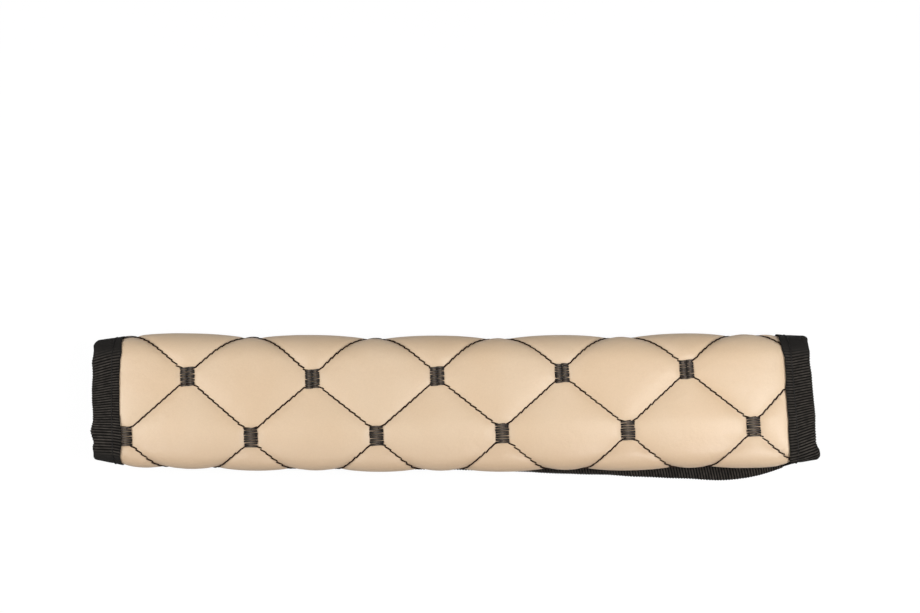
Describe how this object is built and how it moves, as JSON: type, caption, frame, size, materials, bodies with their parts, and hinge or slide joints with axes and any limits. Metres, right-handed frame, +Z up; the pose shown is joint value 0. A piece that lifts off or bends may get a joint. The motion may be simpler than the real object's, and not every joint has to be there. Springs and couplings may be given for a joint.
{
  "type": "seat belt shoulder pad",
  "caption": "Quilted leatherette sleeve for a seat belt, wrapped flat, bound in ribbed tape and closed underneath with hook and loop strips.",
  "frame": {"origin": "under the middle of the pad, on the surface it lies on", "axes": "+X along the pad, +Y across it towards its broad closed fold, +Z up through its quilted top"},
  "size_m": [0.3362, 0.0676, 0.0248],
  "materials": {
    "leatherette": "satin",
    "foam": "matt",
    "lining": "matt",
    "binding_tape": "matt",
    "hook_tape": "matt",
    "loop_tape": "matt",
    "quilting_thread": "matt",
    "satin_thread": "satin"
  },
  "bodies": {
    "root": {"outer_cover": "leatherette", "foam_padding": "foam", "inner_lining": "lining", "end_binding_left": "binding_tape", "end_binding_right": "binding_tape", "flap_edge_binding": "binding_tape", "tuck_edge_binding": "binding_tape", "hook_strip": "hook_tape", "loop_strip": "loop_tape", "quilt_thread_1": "quilting_thread", "quilt_thread_2": "quilting_thread", "quilt_thread_3": "quilting_thread", "quilt_thread_4": "quilting_thread", "quilt_thread_5": "quilting_thread", "quilt_thread_6": "quilting_thread", "bar_tack_r1_c1": "satin_thread", "bar_tack_r1_c2": "satin_thread", "bar_tack_r1_c3": "satin_thread", "bar_tack_r1_c4": "satin_thread", "bar_tack_r1_c5": "satin_thread", "bar_tack_r2_c1": "satin_thread", "bar_tack_r2_c2": "satin_thread", "bar_tack_r2_c3": "satin_thread", "bar_tack_r2_c4": "satin_thread", "bar_tack_r2_c5": "satin_thread", "bar_tack_r2_c6": "satin_thread", "bar_tack_r3_c1": "satin_thread", "bar_tack_r3_c2": "satin_thread", "bar_tack_r3_c3": "satin_thread", "bar_tack_r3_c4": "satin_thread", "bar_tack_r3_c5": "satin_thread", "bar_tack_r4_c1": "satin_thread", "bar_tack_r4_c2": "satin_thread", "bar_tack_r4_c3": "satin_thread", "bar_tack_r4_c4": "satin_thread", "bar_tack_r4_c5": "satin_thread", "bar_tack_r4_c6": "satin_thread", "bar_tack_r5_c1": "satin_thread", "bar_tack_r5_c2": "satin_thread", "bar_tack_r5_c3": "satin_thread", "bar_tack_r5_c4": "satin_thread", "bar_tack_r5_c5": "satin_thread"}
  },
  "joints": []
}
